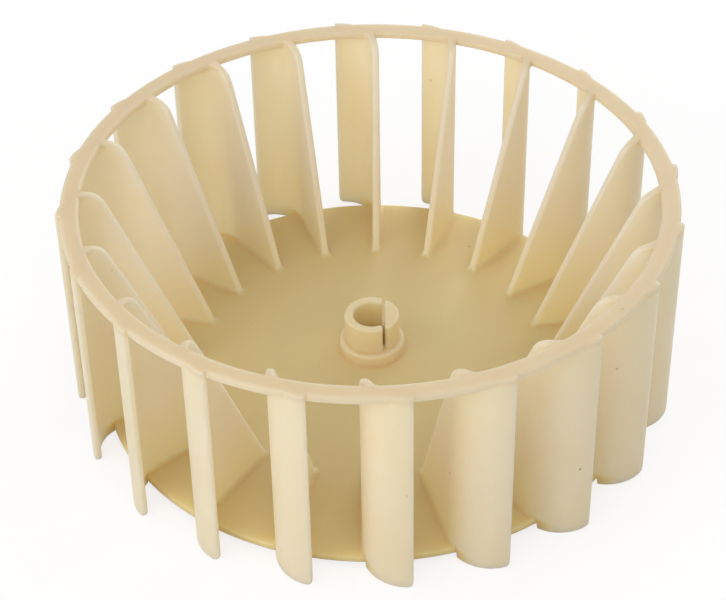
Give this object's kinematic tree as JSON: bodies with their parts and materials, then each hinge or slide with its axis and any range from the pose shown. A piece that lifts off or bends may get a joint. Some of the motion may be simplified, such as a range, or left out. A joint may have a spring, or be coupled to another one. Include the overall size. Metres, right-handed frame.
{
  "type": "blower wheel",
  "caption": "Moulded centrifugal blower wheel: dished floor, hooked blades tied by a top ring, and a split collar with a flatted bore at its centre.",
  "frame": {"origin": "on the wheel's axis, in the plane of the blades' lower edges, on which the wheel rests", "axes": "+Z along the axis, out of the open mouth; +X towards the flat of the bore"},
  "size_m": [0.2048, 0.2048, 0.0804],
  "materials": {
    "natural_plastic": "satin moulded, natural ivory, slightly see-through"
  },
  "bodies": {
    "root": {"blower_wheel": "natural_plastic"}
  },
  "joints": []
}
